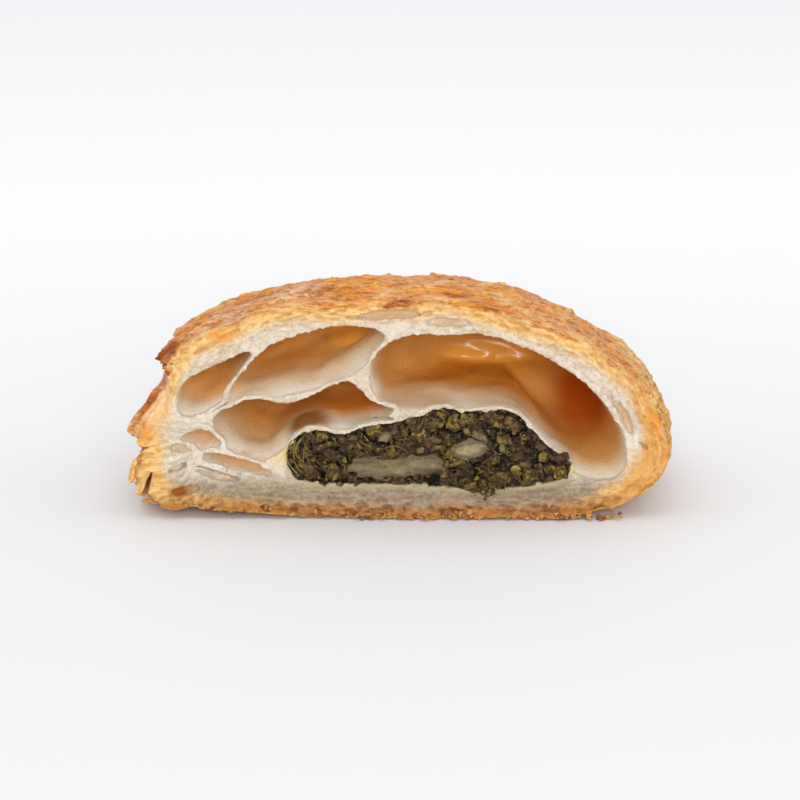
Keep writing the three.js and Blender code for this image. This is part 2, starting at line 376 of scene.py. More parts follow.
def joined(copies, faces):
    """Copies of one mesh, shaped (copies, vertices, 3), as a single mesh."""
    count, size, _ = copies.shape
    offsets = np.arange(count)[:, None, None] * size
    return copies.reshape(-1, 3), (faces[None] + offsets).reshape(-1, faces.shape[1])


def sheet_faces(m):
    """Quads of a thin closed sheet: two layers of m by m vertices and the rim between them."""
    grid = np.arange(m * m).reshape(m, m)
    top = np.stack([grid[:-1, :-1], grid[1:, :-1], grid[1:, 1:], grid[:-1, 1:]], -1).reshape(-1, 4)
    ring = np.concatenate([grid[:-1, 0], grid[-1, :-1], grid[:0:-1, -1], grid[0, :0:-1]])
    after = np.roll(ring, -1)
    rim = np.stack([ring, ring + m * m, after + m * m, after], 1)
    return np.concatenate([top, top[:, ::-1] + m * m, rim])


def sheets(centres, radii, curl, crumple, thick, angles, side=5):
    """Small curled sheets facing the cut until they are turned; radii holds each one's two half sizes."""
    n = len(centres)
    u, v = np.meshgrid(*[np.linspace(-1, 1, side)] * 2, indexing="ij")
    disc = np.stack([u * np.sqrt(1 - v**2 / 2), v * np.sqrt(1 - u**2 / 2)], -1).reshape(1, -1, 2)
    flat = disc * radii[:, None]
    own = np.broadcast_to(np.arange(n)[:, None, None] * 7.3, (n, side**2, 1))
    grain = noise(np.concatenate([disc * 1.3 + 0 * own, own], -1).reshape(-1, 3), 1.0, 71).reshape(n, -1)
    size = radii.mean(1)[:, None]
    lift = curl[:, None] * flat[..., 0] ** 2 / size + crumple * size * grain
    ragged = 1 + 0.25 * np.roll(grain, side, 1)[..., None]
    flat = flat * ragged
    middle = np.stack([flat[..., 0], -lift, flat[..., 1]], -1)
    half = np.array([0, thick / 2, 0])
    both = np.concatenate([middle - half, middle + half], 1)
    return joined(turned(both, angles) + centres[:, None], sheet_faces(side))


def lumps(centres, radii, dents):
    """Small dented balls; radii holds each one's three half sizes."""
    bm = bmesh.new()
    bmesh.ops.create_icosphere(bm, subdivisions=2, radius=1.0)
    ball = np.array([v.co[:] for v in bm.verts])
    bm.verts.index_update()
    faces = np.array([[v.index for v in f.verts] for f in bm.faces])
    bm.free()
    n = len(centres)
    own = ball[None] + np.arange(n)[:, None, None] * 5.1
    depth = 1 + dents * octaves(own.reshape(-1, 3), 0.9, 75, 2).reshape(n, -1, 1)
    angles = dice.uniform(-math.pi, math.pi, (n, 3))
    return joined(turned(ball[None] * depth * radii[:, None], angles) + centres[:, None], faces)


def strand(start, bend, end, radius, rings=14, sides=7):
    """A closed thread along a curve that leaves start towards bend and comes to end."""
    t = np.linspace(0, 1, rings)[:, None]
    path = (1 - t) ** 2 * start + 2 * t * (1 - t) * bend + t**2 * end
    along = np.gradient(path, axis=0)
    along /= np.linalg.norm(along, axis=1)[:, None]
    across = np.cross(along, (0.3, 1.0, 0.2))
    across /= np.linalg.norm(across, axis=1)[:, None]
    up = np.cross(along, across)
    turn = np.linspace(0, 2 * math.pi, sides, endpoint=False)
    width = radius * np.sqrt(1 - (2 * t - 1) ** 6 * 0.9)
    ring = np.cos(turn)[None, :, None] * across[:, None] + np.sin(turn)[None, :, None] * up[:, None]
    tube = (path[:, None] + ring * width[:, None]).reshape(-1, 3)
    faces = []
    for r, s in product(range(rings - 1), range(sides)):
        a, b = r * sides + s, r * sides + (s + 1) % sides
        faces += [(a, a + sides, b + sides), (a, b + sides, b)]
    first, last = len(tube), len(tube) + 1
    top = (rings - 1) * sides
    for s in range(sides):
        faces += [(first, s, (s + 1) % sides), (last, top + (s + 1) % sides, top + s)]
    return np.concatenate([tube, path[:1], path[-1:]]), np.array(faces)


def one_each(values, vertices):
    """A value for each copy in a joined mesh, given to all of the copy's vertices."""
    return np.repeat(values, len(vertices) // len(values))


def merged(meshes):
    """Several meshes of one kind of face as one."""
    starts = np.cumsum([0] + [len(vertices) for vertices, _ in meshes[:-1]])
    return (np.concatenate([vertices for vertices, _ in meshes]),
            np.concatenate([faces + start for start, (_, faces) in zip(starts, meshes)]))


# ---- Shader maths ----
class Value:
    """A shader socket that takes part in Python arithmetic."""

    def __init__(self, shop, socket):
        self.shop, self.socket = shop, socket

    def math(self, operation, *others, clamp=False):
        values = {n: other for n, other in enumerate((self, *others))}
        return self.shop.node("ShaderNodeMath", {"operation": operation, "use_clamp": clamp}, values)

    def __add__(self, other):
        return self.math("ADD", other)

    def __radd__(self, other):
        return self.math("ADD", other)

    def __sub__(self, other):
        return self.math("SUBTRACT", other)

    def __rsub__(self, other):
        return (self * -1).math("ADD", other)

    def __mul__(self, other):
        return self.math("MULTIPLY", other)

    def __rmul__(self, other):
        return self.math("MULTIPLY", other)

    def __truediv__(self, other):
        return self.math("DIVIDE", other)

    def ramp(self, low, high):
        """Eases from 0 at low to 1 at high."""
        settings = {"interpolation_type": "SMOOTHSTEP"}
        values = {"Value": self, "From Min": low, "From Max": high, "To Min": 0.0, "To Max": 1.0}
        return self.shop.node("ShaderNodeMapRange", settings, values)


class Shop:
    """One material and the nodes that are made for it."""

    def __init__(self, name):
        self.material = bpy.data.materials.new(name)
        self.material.use_nodes = True
        self.tree = self.material.node_tree
        self.shader = self.tree.nodes["Principled BSDF"]
        self.place = self.node("ShaderNodeTexCoord", output="Object")

    def node(self, kind, settings=None, values=None, output=0):
        made = self.tree.nodes.new(kind)
        for key, value in (settings or {}).items():
            setattr(made, key, value)
        for key, value in (values or {}).items():
            self.feed(made.inputs[key], value)
        return Value(self, made.outputs[output])

    def feed(self, socket, value):
        if isinstance(value, Value):
            self.tree.links.new(value.socket, socket)
        else:
            socket.default_value = value

    def mix(self, factor, first, second):
        """The second colour laid over the first."""
        first, second = ((*color, 1.0) if isinstance(color, tuple) else color for color in (first, second))
        return self.node("ShaderNodeMix", {"data_type": "RGBA"}, {0: factor, 6: first, 7: second}, output=2)

    def vectors(self, operation, *values, output=0):
        """Vector Math on places or on tuples of three numbers."""
        return self.node("ShaderNodeVectorMath", {"operation": operation}, dict(enumerate(values)), output)

    def in_units_of(self, sizes, place=None):
        """A place measured in these sizes along each axis, in millimetres."""
        return self.vectors("DIVIDE", place or self.place, tuple(size * MM for size in sizes))

    def attribute(self, key):
        return self.node("ShaderNodeAttribute", {"attribute_name": key}, output="Fac")

    def axis(self, letter):
        """How far along X, Y or Z, in millimetres."""
        return self.node("ShaderNodeSeparateXYZ", values={0: self.place}, output=letter) / MM

    def facing_up(self):
        """1 where the surface faces straight up, -1 where it faces down."""
        normal = self.node("ShaderNodeNewGeometry", output="Normal")
        return self.node("ShaderNodeSeparateXYZ", values={0: normal}, output="Z")

    def near(self, spot, radii):
        """1 at a spot, 0 at the edge of the ellipsoid round it, all in millimetres."""
        offset = self.vectors("SUBTRACT", self.place, tuple(c * MM for c in spot))
        return 1 - self.vectors("LENGTH", self.in_units_of(radii, offset), output="Value").ramp(0.0, 1.0)

    def grain(self, size, detail=2.0, stretch=(1, 1, 1), rough=0.5, warp=0.0, place=None):
        """Noise from 0 to 1 with lumps of about size millimetres, drawn out along each axis by stretch."""
        scaled = self.in_units_of([size * s for s in stretch], place)
        values = {"Vector": scaled, "Scale": 1.0, "Detail": detail, "Roughness": rough, "Distortion": warp}
        return self.node("ShaderNodeTexNoise", values=values, output="Fac")

    def specks(self, apart, radius):
        """1 in small round specks, about `apart` millimetres from each other."""
        values = {"Vector": self.in_units_of((apart,) * 3), "Scale": 1.0}
        distance = self.node("ShaderNodeTexVoronoi", values=values, output="Distance")
        return 1 - distance.ramp(0.6 * radius / apart, radius / apart)

    def bump(self, height, distance, strength=1.0):
        """Relief whose height runs from 0 to 1 over a distance in millimetres."""
        values = {"Height": height, "Distance": distance * MM, "Strength": strength}
        self.feed(self.shader.inputs["Normal"], self.node("ShaderNodeBump", values=values))

    def finish(self, color, roughness, **constants):
        self.feed(self.shader.inputs["Base Color"], color if isinstance(color, Value) else (*color, 1.0))
        self.feed(self.shader.inputs["Roughness"], roughness)
        for key, value in constants.items():
            self.shader.inputs[key.replace("_", " ")].default_value = value
        return self.material


# ---- Materials ----
# Browned spots on the crust: place, half sizes and how dark.
BURNT_SPOTS = [
    ((-0.2, CUT + 0.6, 38.0), (3.4, 2.6, 1.5), 1.0),
    ((15.0, CUT, 36.2), (3.4, 1.8, 1.1), 0.7),
    ((32.2, CUT + 0.5, 31.2), (3.0, 2.6, 1.8), 0.8),
    ((38.5, CUT + 3.5, 27.5), (3.0, 3.6, 3.4), 0.7),
    ((40.6, CUT + 0.5, 23.4), (1.8, 2.4, 2.4), 0.8),
    ((-39.6, CUT + 2.5, 28.4), (4.2, 5.0, 4.2), 0.8),
]
# Orange places on the crust and the cut: place and half sizes.
ORANGE_SPOTS = [
    ((43.4, CUT + 0.6, 18.0), (3.2, 3.0, 5.0)),
    ((-43.8, CUT + 1.0, 15.0), (3.6, 5.0, 3.6)),
    ((14.0, CUT, 36.2), (5.0, 1.8, 1.2)),
    ((-30.0, CUT, 31.6), (4.0, 1.6, 2.0)),
]
# Glossy patches on the hollows' back walls, painted bright orange as a painted glow of light through the
# thin pastry: place and half sizes.
GLOSSY_GLOW_PATCHES = [((-8.5, CUT + 15.8, 28.4), (7.0, 7.0, 3.2)), ((15.5, CUT + 28.0, 22.6), (12.5, 7.0, 2.8))]
# Blisters on the back walls: place, how far they stand out, and their half sizes.
BLISTERS = [
    ((-7.6, CUT + 15.4, 28.2), 1.5, (3.6, 2.6, 1.4)),
    ((-12.0, CUT + 16.6, 27.0), 1.0, (2.4, 2.6, 1.0)),
    ((9.5, CUT + 28.1, 23.8), 1.1, (2.6, 3.0, 1.3)),
    ((13.5, CUT + 28.1, 23.0), 1.2, (1.6, 3.0, 1.1)),
    ((17.4, CUT + 28.1, 22.2), 1.2, (2.2, 3.0, 1.1)),
    ((20.6, CUT + 27.8, 21.4), 0.8, (1.3, 3.0, 0.8)),
    ((23.6, CUT + 27.4, 20.8), 0.8, (1.8, 3.0, 0.8)),
]
# Browner and brighter places inside the hollows, painted shade and painted glow of light through the pastry:
# place, half sizes, colour and how much of it.
HOLLOW_GLOW_AND_SHADE = [
    ((20.0, CUT + 20.0, 29.0), (17.0, 14.0, 7.0), (0.68, 0.27, 0.03), 0.7),
    ((16.0, CUT + 21.0, 20.5), (21.0, 18.0, 7.0), (0.66, 0.25, 0.010), 0.85),
    ((33.0, CUT + 12.0, 10.0), (9.0, 14.0, 8.0), (0.70, 0.34, 0.07), 0.8),
    ((31.5, CUT + 21.0, 16.0), (10.0, 18.0, 11.0), (0.48, 0.095, 0.0), 1.0),
    ((3.0, CUT + 3.5, 20.2), (12.0, 7.0, 3.4), (0.50, 0.30, 0.15), 0.8),
    ((18.0, CUT + 5.0, 19.0), (14.0, 8.0, 4.5), (0.58, 0.37, 0.19), 0.65),
    ((-9.0, CUT + 12.0, 19.0), (13.0, 11.0, 6.0), (0.84, 0.31, 0.016), 0.9),
    ((-16.5, CUT + 5.0, 16.0), (8.5, 7.0, 4.2), (0.31, 0.13, 0.026), 1.0),
    ((-32.0, CUT + 8.0, 22.0), (8.0, 9.0, 6.0), (0.95, 0.52, 0.16), 0.8),
    ((-38.0, CUT + 3.0, 3.8), (4.0, 5.0, 2.5), (0.50, 0.17, 0.02), 0.95),
]
# Pale yellow where juice has soaked into the pastry beside the filling: place and half sizes.
JUICE_STAINS = [((-19.6, CUT, 11.2), (4.2, 3.0, 4.0)), ((29.6, CUT, 8.6), (4.6, 3.0, 1.8))]


def crust_color(shop, x, z, patches, streaks, sand, creases):
    """Pinkish tan plates with orange brown creases, paler on the fold and at the seam; raised plates are
    painted lighter, the creases hold painted shade, and the pink is partly a painted sheen.
    """
    proud = shop.attribute("crust_relief")
    # raised plates are painted lighter, for the light they catch, over the crust's own streaks and patches
    tone = proud * 0.8 + (streaks - 0.5) * 3.0 + (sand - 0.5) + (patches - 0.5) * 3.2
    tone = tone - (1 - x.ramp(-38.0, -18.0)) * 0.5
    crust = shop.mix(tone.ramp(-1.1, 0.0), (0.46, 0.115, 0.012), (0.92, 0.355, 0.055))
    crust = shop.mix(tone.ramp(-0.1, 1.0), crust, (1.0, 0.62, 0.21))
    # pink patches, more of them to the left: partly the crust's own tone, partly a painted sheen
    pink_and_sheen = shop.grain(11.0, 3.0).ramp(0.44, 0.6) * (0.35 + 0.45 * (1 - x.ramp(-22.0, 0.0)))
    crust = shop.mix(pink_and_sheen, crust, shop.mix(streaks.ramp(0.35, 0.65), (0.64, 0.24, 0.09), (1.0, 0.65, 0.40)))
    # the creases' own browning, with painted shade in them
    crust = shop.mix(creases * 0.6, crust, (0.46, 0.10, 0.012))
    side = (1 - z.ramp(6.0, 22.0)) * (0.55 + 0.45 * (1 - shop.facing_up().ramp(0.0, 0.6)))
    tan = shop.mix(streaks.ramp(0.3, 0.7), (0.62, 0.29, 0.06), (0.82, 0.47, 0.15))
    return shop.mix(side * 0.75, crust, tan)


def cut_color(shop, x, z, skin, patches, fine, streaks, sand, leaves):
    """Golden flakes under the crust, then cream leaves with painted light and shade on their edges, browner
    and greyer in the base.
    """
    # leaf edges that stand proud are painted lighter: painted light and shade on the cut's relief, over its
    # grain
    flecks_and_edge_light = leaves * 0.5 + sand * 0.5 + shop.attribute("edge_relief") * 0.3
    golden = shop.mix(flecks_and_edge_light.ramp(0.3, 0.7), (0.60, 0.32, 0.085), (0.83, 0.57, 0.25))
    golden = shop.mix(streaks.ramp(0.45, 0.75) * 0.35, golden, (0.82, 0.42, 0.09))
    cream = shop.mix(flecks_and_edge_light.ramp(0.25, 0.7), (0.50, 0.385, 0.245), (0.74, 0.67, 0.56))
    strata = shop.grain(0.45, 4.0, stretch=(9, 9, 1), rough=0.6) * 0.4 + flecks_and_edge_light * 0.6
    base = shop.mix(strata.ramp(0.36, 0.66), (0.21, 0.14, 0.078), (0.38, 0.30, 0.20))
    cream = shop.mix((1 - z.ramp(4.5, 9.0)) * 0.9, cream, base)
    foot = shop.mix(strata.ramp(0.35, 0.7), (0.13, 0.034, 0.004), (0.43, 0.155, 0.022))
    golden = shop.mix(x.ramp(32.0, 42.0) * 0.55, golden, (0.64, 0.28, 0.05))
    golden = shop.mix((1 - z.ramp(1.5, 5.0)) * 0.9, golden, foot)

    # the golden flakes reach further in at the crown, at the seam and down the fold
    deeper = z.ramp(22.0, 30.0) * 0.5 + (1 - x.ramp(-42.0, -32.0)) * 1.6
    deeper = deeper + x.ramp(28.0, 38.0) * (1 - z.ramp(8.0, 16.0)) * 1.8 + x.ramp(37.0, 42.0)
    inside = skin - deeper + (fine - 0.5) * 2.4 + (patches - 0.5) * 2.0
    peach = shop.mix(fine.ramp(0.3, 0.7), (0.76, 0.44, 0.19), (0.86, 0.58, 0.32))
    return shop.mix(shop.attribute("sheet_side").ramp(0.05, 0.35),
                    shop.mix(inside.ramp(1.2, 3.4), golden, cream), peach)


def hollow_painted_light(shop, sand):
    """Paler than the cut near it, then tan to orange brown further in: painted light, standing for light
    that shines through the thin pastry and for the shade deeper in; the pastry's own colour there is cream.
    """
    inward = shop.attribute("hollow_depth") + (sand - 0.5) * 3.0
    # painted glow and painted shade, by depth into the hollow
    wall = shop.mix(inward.ramp(2.0, 9.0), (0.92, 0.85, 0.72), (0.80, 0.60, 0.37))
    wall = shop.mix(inward.ramp(6.5, 16.0), wall, (0.77, 0.385, 0.095))
    wall = shop.mix((sand - 0.3) * 0.3, wall, (0.42, 0.20, 0.07))
    # painted shade and painted glow, place by place
    for spot, radii, color, share in HOLLOW_GLOW_AND_SHADE:
        wall = shop.mix(shop.near(spot, radii).ramp(0.0, 0.8) * share, wall, color)
    # painted glow: the glossy patches are coloured bright orange for light shining through them
    for spot, radii in GLOSSY_GLOW_PATCHES:
        wall = shop.mix(shop.near(spot, radii).ramp(0.0, 0.5) * 0.8, wall, (1.0, 0.51, 0.08))
    return wall


def pastry_material():
    """Browned outside, golden and cream where it is cut, and tan inside the hollows."""
    shop = Shop("baked puff pastry")
    skin = shop.attribute("skin_depth")
    x, z = shop.axis("X"), shop.axis("Z")
    patches = shop.grain(8.0, 3.0)
    fine = shop.grain(0.8, 5.0, rough=0.62)
    sand = shop.grain(0.35, 3.0, rough=0.7)
    streaks = shop.grain(0.9, 5.0, stretch=(2.6, 1, 1), rough=0.68, warp=0.3)
    wrinkles = shop.grain(1.5, 5.0, stretch=(2.8, 1, 1), rough=0.6, warp=0.6)
    creases = 1 - (wrinkles - 0.5).math("ABSOLUTE").ramp(0.0, 0.035)
    leaf = {"X": x * MM / 3.0, "Y": shop.attribute("leaf_depth") * MM, "Z": z * MM / 3.0}
    leaves = shop.grain(0.5, 4.0, rough=0.6, place=shop.node("ShaderNodeCombineXYZ", values=leaf))

    cut = cut_color(shop, x, z, skin, patches, fine, streaks, sand, leaves)
    inner = shop.mix(shop.attribute("cut_face"), hollow_painted_light(shop, sand), cut)
    soaked = (1 - shop.attribute("filling_depth").ramp(0.2, 1.1)) * (0.65 - z.ramp(8.0, 13.0) * 0.5)
    inner = shop.mix(soaked, inner, (0.46, 0.38, 0.20))
    for spot, radii in JUICE_STAINS:
        inner = shop.mix(shop.near(spot, radii) * 0.7, inner, (0.72, 0.56, 0.20))
    inner = shop.mix(shop.specks(3.1, 0.14) * 0.75, inner, (0.12, 0.06, 0.03))
    crust = crust_color(shop, x, z, patches, streaks, sand, creases)
    color = shop.mix(1 - (skin + (fine - 0.5) * 0.5).ramp(0.3, 0.75), inner, crust)
    for spot, radii in ORANGE_SPOTS:
        patch = shop.near(spot, radii).ramp(0.0, 0.7) * fine.ramp(0.1, 0.5)
        color = shop.mix(patch * 0.7, color, (0.78, 0.30, 0.035))
    for spot, radii, dark in BURNT_SPOTS:
        patch = (shop.near(spot, radii) + (fine - 0.5) * 0.8).ramp(0.1, 0.6)
        color = shop.mix(patch * dark, color, (0.29, 0.05, 0.006))

    glossy = sum(shop.near(spot, radii).ramp(0.0, 0.4) for spot, radii in GLOSSY_GLOW_PATCHES)
    on_crust = 1 - skin.ramp(0.2, 0.8)
    relief = fine * 0.7 + sand * 0.6 + leaves * (1 - on_crust) * 0.3
    relief = relief + (streaks * 3.0 - creases * 0.5) * on_crust
    shop.bump(relief * (1 - glossy.math("MINIMUM", 1.0) * 0.9), 0.32)
    shop.feed(shop.shader.inputs["Coat Weight"], glossy * 0.7)
    roughness = 0.8 - on_crust * 0.42 - glossy * 0.4
    return shop.finish(color, roughness, Subsurface_Weight=0.35, Subsurface_Radius=(1.0, 0.7, 0.5),
                       Subsurface_Scale=0.0015, Specular_IOR_Level=0.25, Coat_Roughness=0.24, Coat_IOR=1.8)


def spinach_material():
    """Black brown to olive, moist; each piece has its own shade from 0, dark, to 1, yellow."""
    shop = Shop("cooked chopped spinach")
    shade = shop.attribute("shade")
    fine = shop.grain(0.55, 5.0, rough=0.7)
    tone = shade + (fine - 0.5) * 1.7
    leaf = shop.mix(tone.ramp(0.0, 0.4), (0.009, 0.006, 0.004), (0.100, 0.060, 0.017))
    leaf = shop.mix(tone.ramp(0.35, 0.8), leaf, (0.27, 0.175, 0.032))
    leaf = shop.mix(tone.ramp(0.75, 1.15), leaf, (0.52, 0.40, 0.13))
    leaf = shop.mix(shop.grain(3.0, 3.0).ramp(0.48, 0.58) * 0.55, leaf, (0.095, 0.052, 0.030))
    shop.bump(fine + shop.grain(0.22, 2.0) * 0.4, 0.3)
    return shop.finish(leaf, 0.2 + fine * 0.35, Subsurface_Weight=0.1, Subsurface_Radius=(0.6, 0.45, 0.15),
                       Subsurface_Scale=0.0008, Specular_IOR_Level=0.25)


def cheese_material():
    """Melted cheese; each piece is as pale as its own paleness from 0 to 1."""
    shop = Shop("melted pale cheese")
    cloud = shop.grain(2.2, 4.0, rough=0.6)
    fine = shop.grain(0.7, 4.0, rough=0.65)
    edge = shop.attribute("rim_depth") + (fine - 0.5) * 1.2
    tone = (cloud - 0.5) * 1.3 + (fine - 0.5) * 0.6 + shop.attribute("paleness")
    color = shop.mix(tone.ramp(0.0, 1.0), (0.14, 0.10, 0.035), (0.38, 0.295, 0.125))
    color = shop.mix((1 - edge.ramp(0.1, 1.2)) * 0.85, color, (0.085, 0.058, 0.018))
    color = shop.mix(shop.specks(1.3, 0.13) * 0.8, color, (0.03, 0.025, 0.012))
    shop.bump(fine, 0.25)
    return shop.finish(color, 0.35 + cloud * 0.15, Subsurface_Weight=0.5, Subsurface_Radius=(1.2, 0.9, 0.5),
                       Subsurface_Scale=0.0015)


def crumb_material():
    shop = Shop("golden pastry crumbs")
    tone = shop.attribute("shade") + (shop.grain(0.5, 3.0) - 0.5) * 1.2
    color = shop.mix(tone.ramp(0.0, 0.5), (0.16, 0.05, 0.010), (0.46, 0.20, 0.045))
    color = shop.mix(tone.ramp(0.5, 1.1), color, (0.76, 0.45, 0.16))
    shop.bump(shop.grain(0.3, 3.0), 0.1)
    return shop.finish(color, 0.6, Subsurface_Weight=0.25, Subsurface_Radius=(1.0, 0.5, 0.22),
                       Subsurface_Scale=0.001)


def floor_material():
    shop = Shop("white studio floor")
    # painted light: the floor is coloured darker near the camera and paler far off, to even out the lamps
    far = shop.axis("Y").ramp(-120.0, 300.0) * 0.9 + shop.grain(400.0, 2.0) * 0.1
    color = shop.mix(far, (0.76, 0.755, 0.765), (0.96, 0.96, 0.97))
    return shop.finish(color, 0.6, Specular_IOR_Level=0.2)


# ---- Pastry ----
CELL = 0.25  # the grid's step across the cut
PASTRY_TRIANGLES = 196_000
BAND = 2.0  # relief is worked out this close to the plain surface
HOLLOW_REACH = 3.2  # distances to a hollow are known this far
THIN_HOLLOW = 2.6  # hollows no thicker than this close a short way behind the cut
FLOOR_SAG = 1.5  # how far a hollow's floor sinks towards the cut
THINNEST = 0.6  # what is left of a sheet between two hollows where a floor sinks
CUT_SETBACK = 0.45  # how far the cut face lies behind the cut's plane, so that its flakes end about there
MARGIN = 1.5  # how far the grid runs past the case's box
FINE_BEHIND = 2.5  # the finest cells run this far behind the cut, and all of their triangles are kept

# Slits in the cut face: X and Z at each end, the half thickness there, and how far they run in.
SLITS = [
    (-32.2, 18.3, 0.05, -27.6, 20.7, 0.22, 2.5),
    (-38.8, 8.2, 0.3, -36.4, 9.2, 0.55, 3.0),
    (-34.5, 9.0, 0.1, -27.5, 6.9, 0.4, 3.0),
    (-46.0, 11.7, 0.6, -42.4, 12.3, 0.15, 7.0),
    (-43.4, 3.7, 0.75, -41.8, 8.2, 0.12, 7.0),
    (-47.5, 3.3, 0.6, -43.2, 3.6, 0.6, 7.0),
    (-46.4, 5.6, 0.7, -44.6, 9.6, 0.15, 7.0),
    (-44.2, 16.8, 0.45, -43.0, 16.7, 0.35, 3.0),
    (-42.6, 26.0, 0.45, -38.0, 26.6, 0.05, 6.0),
    (39.8, 13.2, 0.15, 41.0, 12.2, 0.5, 1.8),
]
# Where the cut face is worn back beside the seam: height, and how far the wear reaches in from the edge.
WORN_EDGE = [(13.2, 0.1), (15.5, 4.2), (18.0, 5.0), (22.5, 2.6), (25.6, 0.1)]
WORN_BACK = 3.4  # how far back it is worn at most
# Offsets that keep a surface's colour to its own side, as its relief and its drift move it.
CRUST_TURN = 0.7  # what is this much deeper than the plain crust still counts as crust behind the cut
WALL_DRIFT = 1.6  # what is this far from a plain hollow still counts as its wall behind the cut


class PastryForm:
    """Fields of the case: its outside, its empty hollows and the place of its filling."""

    def __init__(self):
        outside, *hollows = shells_behind_cut("pastry")
        middle = (FILLING_LOW + FILLING_HIGH) / 2
        away = [np.linalg.norm((shell[0].min(0) + shell[0].max(0))[[0, 2]] / 2 - middle[[0, 2]])
                for shell in hollows]
        filling = hollows.pop(int(np.argmin(away)))
        self.outside = Distance(*outside, voxel=0.45, reach=14.0, blur=0.9)
        self.hollows = [Distance(*shell, voxel=0.4, reach=HOLLOW_REACH, blur=0.45) for shell in hollows]
        thickness = -2 * np.array([hollow.values.min() for hollow in self.hollows])
        self.slimness = np.clip(5.0 / thickness, 1, 2.6)
        for hollow in self.hollows:
            self.close_if_thin(hollow)
        self.filling = Distance(*filling, voxel=0.4, reach=4.0, blur=0.5)

    @staticmethod
    def close_if_thin(hollow):
        """Rounds off a thin hollow a short way behind the cut."""
        thick = -2 * float(hollow.values.min())
        if thick > THIN_HOLLOW:
            return
        behind = hollow.origin[1] + np.arange(hollow.values.shape[1]) * hollow.voxel - CUT
        closing = thick / 2 * (np.clip(behind, 0, None) / (1.2 + 2.2 * thick)) ** 2
        hollow.values = np.minimum(hollow.values + closing[:, None].astype(np.float32), hollow.reach)

    def filling_place(self, points):
        """Distance to the filling's uneven edge, negative inside it."""
        uneven = octaves(points, (1.8, 4.0, 1.8), seed=47, count=2)
        return self.filling(points) + 0.6 * np.maximum(uneven, -0.1)

    def hollows_at(self, points):
        """Distance to each empty hollow, a row each, with the filling's place as the last row."""
        rows = np.full((len(self.hollows) + 1, len(points)), HOLLOW_REACH, np.float32)
        for row, hollow in zip(rows, (*self.hollows, self.filling)):
            near = np.flatnonzero(((points > hollow.low) & (points < hollow.high)).all(1))
            row[near] = np.minimum(hollow(points[near]), HOLLOW_REACH)
        return rows

    def nearest_hollow(self, points, skin):
        """Distance to the nearest empty hollow, whose floor sinks near the cut if the sheet below allows."""
        rows = self.hollows_at(points)
        best = rows[:-1].min(0)
        sag = FLOOR_SAG * (1 - smoothstep(points[:, 1] - CUT, 0.5, 9.0))
        front = np.flatnonzero((sag > 0) & (best < FLOOR_SAG + 1.5))
        lowered = self.hollows_at(points[front] + sag[front, None] * np.array([0, 0, 1]))
        rows = rows[:, front]
        nearest = rows.argmin(0)
        first, second = np.partition(rows, 1, axis=0)[:2]
        for n, slim in enumerate(self.slimness):
            low = lowered[n] + (0.5 * sag[front] if slim > 2 else 0)  # a slim hollow's floor sinks less
            beside = np.minimum(np.where(nearest == n, second, first), skin[front] - THINNEST)
            best[front] = np.minimum(best[front], np.maximum(low, THINNEST - beside))
        return best

    def plain(self, axes):
        """The case without any relief on a box grid, negative in the pastry."""
        field = np.maximum(self.outside.on_grid(axes), (CUT - axes[1])[:, None])
        for hollow in (*self.hollows, self.filling):
            field = np.maximum(field, -hollow.on_grid(axes))
        return field

    def crust_relief(self, points):
        """How much the baked outside stands proud: blisters, creases, plates, the seam and its sheets."""
        x, y, z = points.T
        top = smoothstep(z, 5, 17)
        blisters = octaves(points, (8.0, 5.5, 5.5), seed=3, count=2)
        creases = np.abs(octaves(points, (6.0, 2.4, 3.0), seed=6)) ** 0.8
        plates = terraces(octaves(points, (6.0, 3.2, 3.2), seed=9, count=2) * 2.6) / 2.6
        flakes = terraces(octaves(points, (2.6, 1.6, 1.6), seed=12, count=2) * 2.2) / 2.2
        crust = 0.5 * blisters + 0.75 * (creases - 0.3) + 0.45 * plates + 0.22 * flakes
        crust *= 0.35 + 0.65 * top
        crust += 0.9 * np.exp(-(((x + 34) / 7) ** 2)) * smoothstep(z, 24, 28)
        crust += 0.8 * smoothstep(x, 30, 40) * smoothstep(z, 8, 14) * (1 - smoothstep(z, 22, 30))
        corner = 1.9 * np.exp(-(((x + 44) / 3.5) ** 2) - ((z - 2.8) / 1.8) ** 2)
        corner += 1.2 * np.exp(-(((x + 45) / 3.0) ** 2) - ((z - 14.4) / 1.6) ** 2)

        # the seam: the top sheet's lip over a groove, with stacked sheet edges below it
        open_side = np.maximum(smoothstep(-x, 30, 38), smoothstep(y, 12, 24) * smoothstep(-x, -32, -12))
        seam = 25.6 - 13.0 * smoothstep(y, CUT + 4, 20) + 0.9 * noise(points, (14, 14, 90), seed=15)
        above = z - seam
        groove = -1.2 * np.exp(-((above / 0.6) ** 2))
        lip = 0.6 * smoothstep(above, 0.3, 1.0) * (1 - smoothstep(above, 1.4, 3.6))
        stack = terraces(octaves(points, (10.0, 8.0, 1.25), seed=14, count=2) * 2.2) / 2.2
        sheet = noise(points, (20, 9, 2.4), seed=16)
        below = 1 - smoothstep(above, -1.0, 0.0)
        smooth_side = below * (1 - smoothstep(y, CUT + 4, CUT + 14)) * smoothstep(z, 12.0, 13.5)
        side = stack * (0.85 - 0.75 * smooth_side) + 0.5 * sheet * smooth_side
        side -= crust * (0.6 + 0.35 * smooth_side)
        seam_relief = open_side * (groove + lip + below * side)
        crumbs = (1 - smoothstep(z, 1.0, 3.5)) * octaves(points, (1.6, 1.6, 1.2), seed=17)
        return crust + seam_relief + corner + 0.4 * crumbs

    def worn(self, points, skin):
        """How far back the cut face is worn beside the seam."""
        heights, reaches = zip(*WORN_EDGE)
        reach = np.interp(points[:, 2], heights, reaches) * smoothstep(-points[:, 0], 30, 34)
        return WORN_BACK * (1 - smoothstep(skin / (reach + 0.01), 0.1, 1.0))

